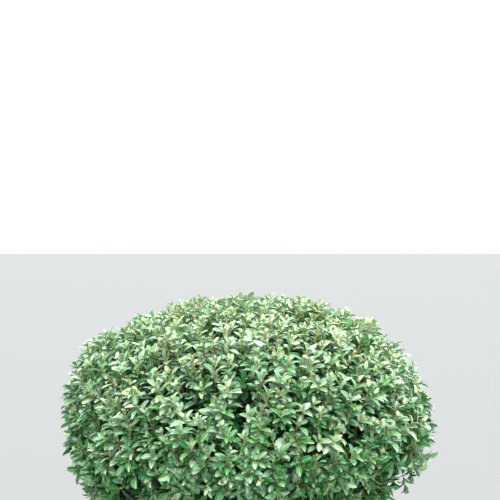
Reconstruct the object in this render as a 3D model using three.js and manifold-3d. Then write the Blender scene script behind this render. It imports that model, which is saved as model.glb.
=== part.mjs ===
// A potted inkberry holly: a many-stemmed evergreen shrub, lightly clipped to a broad bun, in a clay pot.
// Millimetres, +Z up. The origin is the middle of the pot's underside, and the shrub's face looks along -Y.
// A short trunk stands on the potting soil and forks into thirteen boughs, and each bough carries one mass
// of foliage: a small core with twigs and leaves that stand out of it.
import * as THREE from "three";
import { mergeVertices } from "three/addons/utils/BufferGeometryUtils.js";
import Module from "manifold-3d";

const wasm = await Module();
wasm.setup();

// The pot: a tapering clay body under a plain collar, with three drain holes in its floor.
const POT_HEIGHT = 340;
const POT_FOOT_RADIUS = 158;
const POT_SHOULDER_RADIUS = 197;
const POT_RIM_RADIUS = 215;
const POT_COLLAR_HEIGHT = 66;
const POT_WALL = 15;
const POT_FLOOR = 16;
const POT_EDGE = 5;
const POT_SIDES = 40;
const DRAIN_RADIUS = 10;
const DRAIN_CIRCLE = 78;
const DRAIN_COUNT = 3;
const DRAIN_SIDES = 10;

// The soil fills the pot to a little under its rim.
const SOIL_BELOW_RIM = 30;
const SOIL_TOP = POT_HEIGHT - SOIL_BELOW_RIM;

// Pieces that meet keep this much air between them.
const CLEARANCE = 0.3;

// The trunk: a short stool with a lobed root flare, from its flat cut on the soil to the dome where it forks.
const TRUNK_FOOT_RADIUS = 52;
const TRUNK_NECK_RADIUS = 35;
const TRUNK_HEIGHT = 66;
const TRUNK_FLARE = [
  { height: 0, radius: TRUNK_FOOT_RADIUS },
  { height: 7, radius: 45 },
  { height: 20, radius: 38 },
];
const TRUNK_DOME_STEPS = 5;
const TRUNK_SIDES = 18;
const TRUNK_LOBES = 5;
const TRUNK_LOBE_DEPTH = 0.13;
const TRUNK_LEAN = 0.07;

// The canopy: a squarish oval, widest at its middle height, over a hollow that holds the bare boughs.
const CANOPY_RADIUS = 500;
const CANOPY_MIDDLE = 645;
const CANOPY_ABOVE = { height: 371, squareness: 2.4 };
const CANOPY_BELOW = { height: 262, squareness: 2.8 };
const HOLLOW_SHARE = 0.5;

// The masses, by rows from the top down. Elevations are in degrees on the canopy drawn as a ball.
const MASS_ROWS = [
  { row: "top", count: 1, elevation: 90, turn: 0, boughRadius: 7 },
  { row: "shoulder", count: 5, elevation: 34, turn: 20, boughRadius: 7 },
  { row: "skirt", count: 7, elevation: -12, turn: -8, boughRadius: 8.5 },
];

// A bough leaves the trunk's dome at its own steepness and thins towards the mass that it carries.
const BOUGH_STEEPNESS = { top: 90, shoulder: 54, skirt: 14 };
const BOUGH_THINNING = 0.62;
const BOUGH_SIDES = 6;
const BOUGH_STEPS = 5;
const BOUGH_ROOT_DEPTH = 14;
const BOUGH_BEND = 0.34;
const BOUGH_SWAY = 12;

// The rounded core inside each mass, some way under the canopy's outline.
const CORE_DEPTH = 92;
const CORE_START_SHARE = 0.54;
const CORE_APART = 4;
const CORE_ROUNDNESS = 14;
const CORE_COLUMNS = 12;
const CORE_ROWS = 8;

// Twigs: branches leave each mass's stem at its heart, and a few leafy shoots spring from the end of each.
const BRANCH_COUNT = 46;
const SHOOT_COUNT = 135;
const TWIG_SIDES = 3;
const LOWEST_LEVEL = -0.62;
const LEVEL_CROWDING = 1.22;
const BRANCH_RADIUS = 6.5;
const BRANCH_SHARE = 0.7;
const HEART_SHARE = 0.65;
const BUD_LENGTH = 22;
const SHOOT_LIFT = 0.3;
const SHOOT_WANDER = 0.2;
const SHOOT_SHORTEST = 0.965;

// Leaves, larger than life because they are few.
const LEAF_LENGTH = 96;
const LEAF_WIDTH = 47;
const LEAF_THICKNESS = 3.2;
const LEAF_CAMBER = 4;
const LEAF_WIDEST_AT = 0.56;
const LEAF_SIZE_SPREAD = 0.14;
const LEAF_MARGIN = 1.5;
const LEAF_TURNS = 9;
const FURTHEST_SHARE = 1.005;
// Leaves follow each other round a shoot by the golden angle.
const GOLDEN_ANGLE = Math.PI * (3 - Math.sqrt(5));
// How far below the shoot's tip each leaf is rooted, and how far it leans out of the shoot, in degrees.
const LEAF_PLACES = [
  { below: 4, lean: 24 },
  { below: 8, lean: 50 },
  { below: 14, lean: 60 },
  { below: 20, lean: 68 },
];

const CENTRE = new THREE.Vector3(0, 0, CANOPY_MIDDLE);
const UP = new THREE.Vector3(0, 0, 1);
const radians = THREE.MathUtils.degToRad;

const FINISHES = {
  clay: new THREE.MeshStandardMaterial({ color: 0xb4694a, roughness: 0.9, metalness: 0 }),
  soil: new THREE.MeshStandardMaterial({ color: 0x3a2a1f, roughness: 1, metalness: 0 }),
  bark: new THREE.MeshStandardMaterial({ color: 0x6f6355, roughness: 0.85, metalness: 0 }),
  foliage: new THREE.MeshStandardMaterial({ color: 0x66925c, roughness: 0.55, metalness: 0 }),
};

// A repeatable number from 0 to 1 for the k-th thing of a kind.
function chance(k, kind) {
  const wave = Math.sin(k * 12.9898 + kind * 78.233) * 43758.5453;
  return wave - Math.floor(wave);
}

// The same, from -1 to 1.
function swing(k, kind) {
  return 2 * chance(k, kind) - 1;
}

// A closed geometry as a solid, with its shared corners merged.
function solidOf(geometry) {
  const bare = new THREE.BufferGeometry();
  bare.setAttribute("position", geometry.getAttribute("position"));
  if (geometry.index) bare.setIndex(geometry.index);
  const merged = mergeVertices(bare, 1e-4);
  return new wasm.Manifold(
    new wasm.Mesh({
      numProp: 3,
      vertProperties: new Float32Array(merged.getAttribute("position").array),
      triVerts: new Uint32Array(merged.index.array),
    }),
  );
}

// A solid as a geometry.
function geometryOf(solid) {
  const { numProp, vertProperties, triVerts } = solid.getMesh();
  const corners = new Float32Array((vertProperties.length / numProp) * 3);
  for (let i = 0; i * 3 < corners.length; i++) {
    corners.set(vertProperties.subarray(i * numProp, i * numProp + 3), i * 3);
  }
  return new THREE.BufferGeometry()
    .setAttribute("position", new THREE.BufferAttribute(corners, 3))
    .setIndex(new THREE.BufferAttribute(new Uint32Array(triVerts), 1));
}

// Joins solids into one, and keeps its main body.
function joined(solids) {
  const bodies = solids.reduce((sum, solid) => sum.add(solid)).decompose();
  return bodies.reduce((most, body) => (body.volume() > most.volume() ? body : most));
}

// A turned solid about the Z axis, from a profile of [radius, height] pairs that starts and ends on the axis.
function turned(profile, sides) {
  const points = profile.map(([radius, height]) => new THREE.Vector2(radius, height));
  return new THREE.LatheGeometry(points, sides).rotateX(Math.PI / 2);
}

// Moves every vertex of a geometry by a function of its place.
function reshaped(geometry, move) {
  const place = geometry.getAttribute("position");
  const point = new THREE.Vector3();
  for (let i = 0; i < place.count; i++) {
    point.fromBufferAttribute(place, i);
    move(point);
    place.setXYZ(i, point.x, point.y, point.z);
  }
  return geometry;
}

// The pot's inner radius at a height.
function potInnerRadius(height) {
  const slope = (POT_SHOULDER_RADIUS - POT_FOOT_RADIUS) / (POT_HEIGHT - POT_COLLAR_HEIGHT);
  return POT_FOOT_RADIUS - POT_WALL + slope * height;
}

function potGeometry() {
  const collarFoot = POT_HEIGHT - POT_COLLAR_HEIGHT;
  const shell = solidOf(
    turned(
      [
        [0, 0],
        [POT_FOOT_RADIUS - POT_EDGE, 0],
        [POT_FOOT_RADIUS, POT_EDGE],
        [POT_SHOULDER_RADIUS, collarFoot],
        [POT_RIM_RADIUS - POT_EDGE, collarFoot + POT_EDGE],
        [POT_RIM_RADIUS, POT_HEIGHT - 2 * POT_EDGE],
        [POT_RIM_RADIUS - POT_EDGE, POT_HEIGHT],
        [potInnerRadius(POT_HEIGHT) + POT_EDGE, POT_HEIGHT],
        [potInnerRadius(POT_HEIGHT - POT_EDGE), POT_HEIGHT - POT_EDGE],
        [potInnerRadius(POT_FLOOR), POT_FLOOR],
        [0, POT_FLOOR],
      ],
      POT_SIDES,
    ),
  );
  let pierced = shell;
  for (let k = 0; k < DRAIN_COUNT; k++) {
    const angle = (2 * Math.PI * k) / DRAIN_COUNT;
    const drill = new THREE.CylinderGeometry(DRAIN_RADIUS, DRAIN_RADIUS, 3 * POT_FLOOR, DRAIN_SIDES)
      .rotateX(Math.PI / 2)
      .translate(DRAIN_CIRCLE * Math.cos(angle), DRAIN_CIRCLE * Math.sin(angle), 0);
    pierced = pierced.subtract(solidOf(drill));
  }
  return geometryOf(pierced);
}

function soilGeometry() {
  const floor = POT_FLOOR + CLEARANCE;
  // The wall's facets cut in towards the middle, so the soil stands clear of their flats on the same facets.
  const inside = CLEARANCE / Math.cos(Math.PI / POT_SIDES);
  return turned(
    [
      [0, floor],
      [potInnerRadius(floor) - inside, floor],
      [potInnerRadius(SOIL_TOP) - inside, SOIL_TOP],
      [0, SOIL_TOP],
    ],
    POT_SIDES,
  );
}

// The trunk, grown all round by a margin where it is used to trim the boughs.
function trunkGeometry(grown = 0) {
  const foot = SOIL_TOP + CLEARANCE - grown;
  const dome = SOIL_TOP + TRUNK_HEIGHT - TRUNK_NECK_RADIUS;
  const profile = [[0, foot], ...TRUNK_FLARE.map(({ height, radius }) => [radius + grown, foot + height])];
  for (let k = 0; k < TRUNK_DOME_STEPS; k++) {
    const rise = (k / TRUNK_DOME_STEPS) * (Math.PI / 2);
    const radius = TRUNK_NECK_RADIUS + grown;
    profile.push([radius * Math.cos(rise), dome + radius * Math.sin(rise)]);
  }
  profile.push([0, dome + TRUNK_NECK_RADIUS + grown]);
  return reshaped(turned(profile, TRUNK_SIDES), (point) => {
    const flare = THREE.MathUtils.clamp((dome - point.z) / (dome - foot), 0, 1);
    const lobe = 1 + TRUNK_LOBE_DEPTH * flare * Math.cos(TRUNK_LOBES * Math.atan2(point.y, point.x));
    point.x = point.x * lobe + TRUNK_LEAN * (point.z - SOIL_TOP);
    point.y = point.y * lobe;
  });
}

// The point of the trunk's dome that faces a direction given by its azimuth and steepness.
function onTrunkDome(azimuth, steepness) {
  const height = SOIL_TOP + TRUNK_HEIGHT - TRUNK_NECK_RADIUS;
  const radius = TRUNK_NECK_RADIUS * Math.cos(steepness);
  const z = height + TRUNK_NECK_RADIUS * Math.sin(steepness);
  return new THREE.Vector3(
    radius * Math.cos(azimuth) + TRUNK_LEAN * (z - SOIL_TOP),
    radius * Math.sin(azimuth),
    z,
  );
}

// How far out a point lies: 1 on the canopy's outline, or on a surface at a depth under it, and less inside.
function outness(point, depth = 0) {
  const { height, squareness } = point.z > CANOPY_MIDDLE ? CANOPY_ABOVE : CANOPY_BELOW;
  const across = Math.hypot(point.x, point.y) / (CANOPY_RADIUS - depth);
  const upward = Math.abs(point.z - CANOPY_MIDDLE) / (height - depth);
  return (across ** squareness + upward ** squareness) ** (1 / squareness);
}

// The point at a share of the way out, in a direction given on the canopy drawn as a ball.
function outward(direction, share) {
  const { height } = direction.z > 0 ? CANOPY_ABOVE : CANOPY_BELOW;
  const run = direction.clone().multiply(new THREE.Vector3(CANOPY_RADIUS, CANOPY_RADIUS, height));
  const onOutline = outness(run.clone().add(CENTRE));
  return run.multiplyScalar(share / onOutline).add(CENTRE);
}

// The masses' names and their directions on the ball.
function massSites() {
  return MASS_ROWS.flatMap(({ row, count, elevation, turn, boughRadius }) =>
    Array.from({ length: count }, (_, k) => {
      const azimuth = radians(turn - 90 + (360 * k) / count);
      const level = radians(elevation);
      return {
        row,
        label: count > 1 ? `${row}_${k + 1}` : row,
        azimuth,
        boughRadius,
        direction: new THREE.Vector3(
          Math.cos(level) * Math.cos(azimuth),
          Math.cos(level) * Math.sin(azimuth),
          Math.sin(level),
        ),
      };
    }),
  );
}

const SITES = massSites();

// A direction on the ball as a normal in the canopy's own proportions.
function flattened(direction) {
  const { x, y, z } = direction;
  return new THREE.Vector3(x / CANOPY_RADIUS, y / CANOPY_RADIUS, z / CANOPY_ABOVE.height);
}

// The space of each mass: the walls that part it from its neighbours pass through the canopy's centre, and
// one more parts it from the hollow. A wall is a unit normal that points in, and a distance from the centre.
for (const site of SITES) {
  const inward = flattened(site.direction);
  site.walls = SITES.filter((other) => other !== site).map((other) => ({
    normal: flattened(site.direction.clone().sub(other.direction)).normalize(),
    distance: 0,
  }));
  site.walls.push({ normal: inward.clone().normalize(), distance: CORE_START_SHARE / inward.length() });
  const stretch = new THREE.Vector3(CANOPY_RADIUS, CANOPY_RADIUS, CANOPY_ABOVE.height);
  const run = site.direction.clone().multiply(stretch);
  site.along = run.clone().normalize();
  site.foot = run.clone().multiplyScalar(HOLLOW_SHARE).add(CENTRE);
  site.heart = run.clone().multiplyScalar(HEART_SHARE).add(CENTRE);
}

// How far a point lies inside the space of a mass, in millimetres: below 0 it is outside.
function roomAt(site, point) {
  const offset = point.clone().sub(CENTRE);
  return Math.min(...site.walls.map(({ normal, distance }) => normal.dot(offset) - distance));
}

// A tapering limb of round section along a curve.
function limbGeometry(curve, startRadius, endRadius) {
  const limb = new THREE.CylinderGeometry(endRadius, startRadius, 1, BOUGH_SIDES, BOUGH_STEPS);
  return reshaped(limb, (point) => {
    const along = THREE.MathUtils.clamp(point.y + 0.5, 0, 1);
    const forward = curve.getTangent(along);
    const side = new THREE.Vector3().crossVectors(forward, limbSide(curve)).normalize();
    const rise = new THREE.Vector3().crossVectors(side, forward).normalize();
    const { x, z } = point;
    point.copy(curve.getPoint(along)).addScaledVector(side, x).addScaledVector(rise, z);
  });
}

// A direction square to the way that a limb runs as a whole.
function limbSide(curve) {
  const run = curve.getPoint(1).sub(curve.getPoint(0)).normalize();
  const level = Math.abs(run.z) > 0.95 ? new THREE.Vector3(1, 0, 0) : UP;
  return new THREE.Vector3().crossVectors(run, level).normalize();
}

// The bough of a mass: out of the trunk's dome, up and over, and into the foot of the mass's own stem.
function boughGeometry(site, k) {
  const steepness = radians(BOUGH_STEEPNESS[site.row]);
  const seat = onTrunkDome(site.azimuth, steepness);
  const leaving = new THREE.Vector3(
    Math.cos(steepness) * Math.cos(site.azimuth),
    Math.cos(steepness) * Math.sin(site.azimuth),
    Math.sin(steepness),
  );
  const start = seat.clone().addScaledVector(leaving, -BOUGH_ROOT_DEPTH);
  const reach = site.foot.distanceTo(seat);
  const sway = new THREE.Vector3(-Math.sin(site.azimuth), Math.cos(site.azimuth), 0);
  const curve = new THREE.CubicBezierCurve3(
    start,
    seat.clone().addScaledVector(leaving, reach * BOUGH_BEND).addScaledVector(sway, BOUGH_SWAY * swing(k, 3)),
    site.foot.clone().addScaledVector(site.along, -reach * BOUGH_BEND),
    site.foot,
  );
  const limb = solidOf(limbGeometry(curve, site.boughRadius, site.boughRadius * BOUGH_THINNING));
  return geometryOf(limb.subtract(solidOf(trunkGeometry(CLEARANCE))));
}

// A straight stick between two points. With an end radius of 0 it comes to a point.
function stick(from, to, startRadius, endRadius, sides) {
  const run = to.clone().sub(from);
  const turn = new THREE.Quaternion().setFromUnitVectors(new THREE.Vector3(0, 1, 0), run.clone().normalize());
  const middle = from.clone().add(to).multiplyScalar(0.5);
  return new THREE.CylinderGeometry(endRadius, startRadius, run.length(), sides)
    .applyQuaternion(turn)
    .translate(middle.x, middle.y, middle.z);
}

// A leaf of eight faces that grows from a root along a direction, with its upper face towards a second one.
function leafGeometry(root, direction, face, length) {
  const upper = face.clone().addScaledVector(direction, -face.dot(direction)).normalize();
  const side = new THREE.Vector3().crossVectors(upper, direction);
  const width = (LEAF_WIDTH / LEAF_LENGTH) * length;
  return reshaped(new THREE.OctahedronGeometry(1), (point) => {
    const { x, y, z } = point;
    const isEnd = Math.abs(x) > 0.5;
    const along = isEnd ? (x + 1) / 2 : LEAF_WIDEST_AT;
    point
      .copy(root)
      .addScaledVector(direction, along * length)
      .addScaledVector(side, (y * width) / 2)
      .addScaledVector(upper, (z * LEAF_THICKNESS) / 2 + (isEnd ? 0 : LEAF_CAMBER));
  });
}

// The k-th of a number of directions on the ball, spread evenly over the outline save for its underside.
function spreadDirection(k, count) {
  const level = 1 - (1 - LOWEST_LEVEL) * ((k + 0.5) / count) ** LEVEL_CROWDING;
  const around = k * GOLDEN_ANGLE;
  const across = Math.sqrt(1 - level * level);
  return new THREE.Vector3(across * Math.cos(around), across * Math.sin(around), level);
}

// The square way off the canopy's outline at a point.
function outlineNormal(point) {
  const { x, y, z } = point.clone().sub(CENTRE);
  const { height } = z > 0 ? CANOPY_ABOVE : CANOPY_BELOW;
  return new THREE.Vector3(x / CANOPY_RADIUS ** 2, y / CANOPY_RADIUS ** 2, z / height ** 2).normalize();
}

// The n-th leaf of a shoot: its length from root to end, which the seed varies a little.
function leafReach(number, n) {
  return LEAF_LENGTH * (1 + LEAF_SIZE_SPREAD * swing(number * LEAF_PLACES.length + n, 11));
}

// The way that it points, out of a shoot that grows in a given direction.
function leafDirection(number, n, growth) {
  const round = new THREE.Vector3(1, 0, 0).cross(growth).normalize();
  round.applyAxisAngle(growth, 2 * Math.PI * chance(number, 9) + GOLDEN_ANGLE * n);
  const lean = radians(LEAF_PLACES[n].lean);
  return growth.clone().multiplyScalar(Math.cos(lean)).addScaledVector(round, Math.sin(lean));
}

// The shoot of a number. It grows out and up, and its first leaf ends on the outline or just inside.
function shootAt(number) {
  const direction = spreadDirection(number, SHOOT_COUNT);
  const end = outward(direction, SHOOT_SHORTEST + (1 - SHOOT_SHORTEST) * chance(number, 5));
  const growth = outlineNormal(end).addScaledVector(UP, SHOOT_LIFT);
  growth.x += SHOOT_WANDER * swing(number, 7);
  growth.y += SHOOT_WANDER * swing(number, 8);
  growth.normalize();
  const tip = end.clone().addScaledVector(leafDirection(number, 0, growth), -leafReach(number, 0));
  tip.addScaledVector(growth, LEAF_PLACES[0].below);
  const bud = tip.clone().addScaledVector(growth, BUD_LENGTH);
  return { number, growth, tip, bud };
}

// The leaves of one shoot, turned round it one after another. A leaf that would leave the mass's space turns
// away from there, and is skipped if it finds no room.
function shootLeaves(site, { number, growth, tip }) {
  const leaves = [];
  LEAF_PLACES.forEach(({ below }, n) => {
    const root = tip.clone().addScaledVector(growth, -below);
    for (let turn = 0; turn < LEAF_TURNS; turn++) {
      const away = leafDirection(number, n, growth).applyAxisAngle(growth, (2 * Math.PI * turn) / LEAF_TURNS);
      const leaf = leafGeometry(root, away, growth, leafReach(number, n));
      if (fits(site, leaf, root)) {
        leaves.push(solidOf(leaf));
        return;
      }
    }
  });
  return leaves;
}

// The ends of the branches that lie in a mass's space.
function branchEnds(site) {
  const numbers = Array.from({ length: BRANCH_COUNT }, (_, k) => k);
  const ends = numbers.map((k) => outward(spreadDirection(k, BRANCH_COUNT), BRANCH_SHARE));
  return ends.filter((end) => roomAt(site, end) > BRANCH_RADIUS);
}

// The one of a list of points that is nearest to a place.
function nearest(points, place) {
  return points.reduce((best, point) => (point.distanceTo(place) < best.distanceTo(place) ? point : best));
}

// True if a leaf stays inside the mass's space and the canopy's outline, with all but its root off the core.
function fits(site, leaf, root) {
  const place = leaf.getAttribute("position");
  const point = new THREE.Vector3();
  for (let i = 0; i < place.count; i++) {
    point.fromBufferAttribute(place, i);
    const isSunk = outness(point, CORE_DEPTH) < 1 && point.distanceTo(root) > LEAF_THICKNESS;
    if (isSunk || roomAt(site, point) < LEAF_MARGIN || outness(point) > FURTHEST_SHARE) return false;
  }
  return true;
}

// How far it is from a mass's heart, along a direction, to the surface that the cores reach.
function distanceOut(heart, direction) {
  let near = 0;
  let far = 2 * CANOPY_RADIUS;
  while (far - near > CLEARANCE) {
    const middle = (near + far) / 2;
    if (outness(heart.clone().addScaledVector(direction, middle), CORE_DEPTH) < 1) near = middle;
    else far = middle;
  }
  return near;
}

// The core of one mass. It swells from the heart towards its walls and the outline, with its edges rounded.
function coreGeometry(site) {
  const toHeart = site.heart.clone().sub(CENTRE);
  const ball = new THREE.SphereGeometry(1, CORE_COLUMNS, CORE_ROWS).rotateX(Math.PI / 2);
  return reshaped(ball, (point) => {
    const direction = point.clone().normalize();
    let nearness = distanceOut(site.heart, direction) ** -CORE_ROUNDNESS;
    for (const { normal, distance } of site.walls) {
      const approach = -normal.dot(direction);
      const room = normal.dot(toHeart) - distance - CORE_APART;
      if (approach > 0) nearness += (approach / room) ** CORE_ROUNDNESS;
    }
    point.copy(site.heart).addScaledVector(direction, nearness ** (-1 / CORE_ROUNDNESS));
  });
}

// One mass of foliage: its stem, its core, the branches inside and the shoots with their leaves.
function massGeometry(site, shoots) {
  const stemFoot = site.foot.clone().addScaledVector(site.along, CLEARANCE);
  const stemRadius = site.boughRadius * BOUGH_THINNING;
  const forks = branchEnds(site);
  const pieces = [
    solidOf(coreGeometry(site)),
    solidOf(stick(stemFoot, site.heart, stemRadius, stemRadius, BOUGH_SIDES)),
    ...forks.map((fork) => solidOf(stick(site.heart, fork, BRANCH_RADIUS, BRANCH_RADIUS, TWIG_SIDES))),
  ];
  for (const shoot of shoots) {
    const leaves = shootLeaves(site, shoot);
    if (!leaves.length) continue;
    const fork = nearest([site.heart, ...forks], shoot.tip);
    pieces.push(solidOf(stick(fork, shoot.bud, BRANCH_RADIUS, 0, TWIG_SIDES)), ...leaves);
  }
  return geometryOf(joined(pieces));
}

function namedMesh(name, geometry, finish) {
  const mesh = new THREE.Mesh(geometry, finish);
  mesh.name = name;
  return mesh;
}

function pottedShrub() {
  const shrub = new THREE.Group();
  shrub.add(namedMesh("pot", potGeometry(), FINISHES.clay));
  shrub.add(namedMesh("potting_soil", soilGeometry(), FINISHES.soil));
  shrub.add(namedMesh("trunk", trunkGeometry(), FINISHES.bark));
  SITES.forEach((site, k) => {
    shrub.add(namedMesh(`bough_${site.label}`, boughGeometry(site, k), FINISHES.bark));
  });
  const shoots = Array.from({ length: SHOOT_COUNT }, (_, k) => shootAt(k));
  for (const site of SITES) {
    const own = shoots.filter((shoot) => roomAt(site, shoot.tip) > LEAF_MARGIN);
    shrub.add(namedMesh(`foliage_${site.label}`, massGeometry(site, own), FINISHES.foliage));
  }
  return shrub;
}

export default pottedShrub();
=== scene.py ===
# A potted inkberry holly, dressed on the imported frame: bark, twigs, leaves, pot and soil.
# Metres, +Z up. The origin is the middle of the pot's underside, and the shrub's face looks along -Y.
import math

import bpy
import numpy as np
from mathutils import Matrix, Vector


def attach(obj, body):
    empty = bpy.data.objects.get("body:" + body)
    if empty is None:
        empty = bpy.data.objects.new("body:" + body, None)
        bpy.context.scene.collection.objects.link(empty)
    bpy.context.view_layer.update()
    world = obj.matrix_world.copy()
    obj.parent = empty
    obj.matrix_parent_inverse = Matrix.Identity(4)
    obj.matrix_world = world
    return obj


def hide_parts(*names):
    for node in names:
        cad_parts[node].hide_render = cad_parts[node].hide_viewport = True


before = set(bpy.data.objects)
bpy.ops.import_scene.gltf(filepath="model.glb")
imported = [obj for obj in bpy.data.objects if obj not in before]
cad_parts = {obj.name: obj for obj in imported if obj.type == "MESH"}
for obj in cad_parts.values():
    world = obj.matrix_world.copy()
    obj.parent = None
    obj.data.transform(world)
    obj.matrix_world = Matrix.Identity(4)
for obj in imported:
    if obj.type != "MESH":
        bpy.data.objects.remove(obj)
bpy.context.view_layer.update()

UP = np.array([0.0, 0.0, 1.0])
GOLDEN_ANGLE = math.pi * (3 - math.sqrt(5))
# The random draws of each kind of thing start from a number of their own.
SEEDS = dict(wood=7, outer=11, inner=12, hollows=23, leaves=31, soil=51, stems=81, buds=91)

# The pot and soil, as in the source.
POT_HEIGHT = 0.340
POT_FOOT_RADIUS = 0.158
POT_SHOULDER_RADIUS = 0.197
POT_RIM_RADIUS = 0.215
POT_COLLAR_HEIGHT = 0.066
POT_WALL = 0.015
POT_FLOOR = 0.016
DRAIN_RADIUS = 0.010
DRAIN_CIRCLE = 0.078
DRAIN_COUNT = 3
SOIL_TOP = 0.310

# The pot's surface lies a little inside the source's, with rounded edges and the marks of the wheel.
POT_SKIN = 0.001
POT_ROUNDING = 0.007
POT_RING_SPACING = 0.011
POT_SIDES = 120
DRAIN_SIDES = 28
OUT_OF_ROUND = (0.0005, 0.0004)
TURNING_DEPTH = 0.00035
TURNING_RATE = 760

# The soil's surface: lumps as (height, wavelength, seed), and a dip towards the wall.
SOIL_SIDES = 110
SOIL_RINGS = 46
SOIL_CLEARANCE = 0.001
SOIL_LUMPS = [(0.0022, 0.055, 41), (0.0014, 0.019, 42)]
SOIL_GRAIN = 0.0006
SOIL_DIP = 0.004
SOIL_DIP_RADII = (0.12, 0.19)
CRUMB_COUNT = 900
CRUMB_SIZE = np.array([0.009, 0.006, 0.003])
PERLITE_SIZES = (0.0012, 0.0024)
# The soil and the kinds of crumb on it: (finish, share of the crumbs, dark, light).
SOIL_KINDS = [
    ("soil_dark", 0.0, (46, 34, 26), (84, 66, 50)),
    ("soil_bark_chip", 0.52, (92, 62, 42), (146, 106, 74)),
    ("soil_fibre", 0.38, (66, 48, 34), (118, 92, 66)),
    ("soil_perlite", 0.10, (206, 202, 192), (232, 230, 222)),
]

# The trunk: a lobed stool with a domed head.
TRUNK_FOOT_RADIUS = 0.052
TRUNK_NECK_RADIUS = 0.035
TRUNK_HEIGHT = 0.066
TRUNK_DOME = SOIL_TOP + TRUNK_HEIGHT - TRUNK_NECK_RADIUS
TRUNK_SUNK = 0.004
TRUNK_FLARE = [(0.0, TRUNK_FOOT_RADIUS), (0.007, 0.045), (0.020, 0.038)]
TRUNK_LOBES = 5
TRUNK_LOBE_DEPTH = 0.13
TRUNK_LEAN = 0.07
TRUNK_SIDES = 90
TRUNK_RING_SPACING = 0.0025
# The bark's relief: (share of the radius, size of its ridges, size of its cracks).
TRUNK_BARK = (0.035, 0.016, 0.006)
BOUGH_BARK = (0.09, 0.012, 0.005)

# The canopy's outline, above and below its middle: (height, squareness).
CANOPY_RADIUS = 0.500
CANOPY_MIDDLE = 0.645
ABOVE = (0.371, 2.4)
BELOW = (0.262, 2.8)
CENTRE = np.array([0.0, 0.0, CANOPY_MIDDLE])

# The masses, by rows: (row, count, elevation, turn, bough radius, steepness), angles in degrees.
MASS_ROWS = [
    ("top", 1, 90, 0, 0.0070, 90),
    ("shoulder", 5, 34, 20, 0.0070, 54),
    ("skirt", 7, -12, -8, 0.0085, 14),
]
FOOT_SHARE = 0.5
HEART_SHARE = 0.65
BOUGH_ROOT_DEPTH = 0.014
BOUGH_BEND = 0.34
BOUGH_SWAY = 0.012
BOUGH_THINNING = 0.62
BOUGH_SIDES = 16
BOUGH_RINGS = 54
BOUGH_STEM_RINGS = 11
BOUGH_COLLAR = 0.35
BOUGH_COLLAR_RINGS = 5.0
BOUGH_KNOTS = 0.05

# Forks and twigs: their count, how far out they end, and a radius for each ring of their length.
FORK_COUNT = 46
FORK_SHARE = 0.64
FORK_SPREAD = 0.02
FORK_RADII = np.linspace(0.0044, 0.0030, 10)
TWIG_COUNT = 340
TWIG_SHARE = 0.74
TWIG_SPREAD = 0.04
TWIG_RADII = np.linspace(0.0027, 0.0016, 8)
WOOD_LIFT = 0.35
WOOD_TILT = 0.25

# Leafy shoots. The outer ones make the canopy's face, and the inner ones fill the shade behind it.
LOWEST_LEVEL = -0.84
LEVEL_CROWDING = 1.22
OUTER_SHOOTS = 1750
OUTER_LENGTHS = (0.082, 0.122)
OUTER_LIFT = 0.6
OUTER_LIFT_SPREAD = (0.8, 1.9)
OUTER_TILT = 0.24
OUTER_TIP_DEPTH = 0.022
INNER_SHOOTS = 1150
INNER_LENGTHS = (0.06, 0.09)
INNER_REACH = (0.64, 0.92)
INNER_LOWEST = -0.92
INNER_TILT = 0.3
UPRIGHT_LOSS = 1.5
SHOOT_SAG = (0.05, 0.22)
# A shoot springs from the twig nearest to a point this far under its foot.
TWIG_DEPTH = 0.06
# Young stems: their radius, and the shares of green, tan and russet ones.
OUTER_STEMS = (0.0020, (0.6, 0.36, 0.04))
INNER_STEMS = (0.0014, (0.3, 0.4, 0.3))
STEM_FOOT_RADIUS = 0.0018
STEM_TIP_RADIUS = 0.0012
STEM_RINGS = 6
STEM_SHADED_RINGS = 4

# How the face departs from the outline, in shares of the way out. Ripples are (depth, wavelength, seed).
FACE_RIPPLES = [(0.018, 0.30, 21), (0.019, 0.13, 22)]
FACE_JITTER = (-0.036, 0.014)
SEAM_DEPTH = 0.026
SEAM_WIDTH = 0.22
PROUD_SHARE = 0.09
PROUD_REACH = (0.010, 0.036)
GIRTH = 0.026
OUTERMOST = 1.025
OUTERMOST_ON_TOP = 0.024
TOP_LEVELS = (0.25, 0.7)
# The upper left and the skirt are fuller, and the upper right falls away:
# (direction, the axes that count, width, change of girth, change of the outermost reach).
SWELLINGS = [
    ((-0.84, -0.05, 0.54), (1, 1, 1), 0.27, 0.06, 0.042),
    ((0.0, 0.0, -0.74), (0, 0, 1), 0.17, 0.055, 0.036),
    ((0.90, -0.05, 0.44), (1, 1, 1), 0.30, -0.045, -0.03),
]
# Low on the right of the front the shrub is open: from where and to where, from the canopy's centre.
OPEN_RIGHT = (0.28, 0.42)
OPEN_BELOW = (0.0, -0.05)
OPEN_FRONT = (0.30, 0.05)
OPEN_SHARE = 0.78
OPEN_DEPTH = 0.15
OPEN_DROOP = 0.9
# Shadowed hollows of the face, as in the photograph: (across, up) as shares of the canopy's reach.
FRONT_HOLLOWS = [(-0.18, 0.45), (-0.01, 0.44), (0.2, 0.33), (-0.45, 0.32)]
FRONT_HOLLOWS += [(-0.55, -0.5), (0.62, -0.3), (0.4, 0.62)]
HOLLOW_COUNT = 34
HOLLOW_LOWEST = -0.45
HOLLOW_FRONT = -0.35
HOLLOW_JITTER = 0.12
HOLLOW_DEPTH = 0.036
HOLLOW_RADII = (0.030, 0.048)
HOLLOW_THINNING = 0.3

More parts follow.
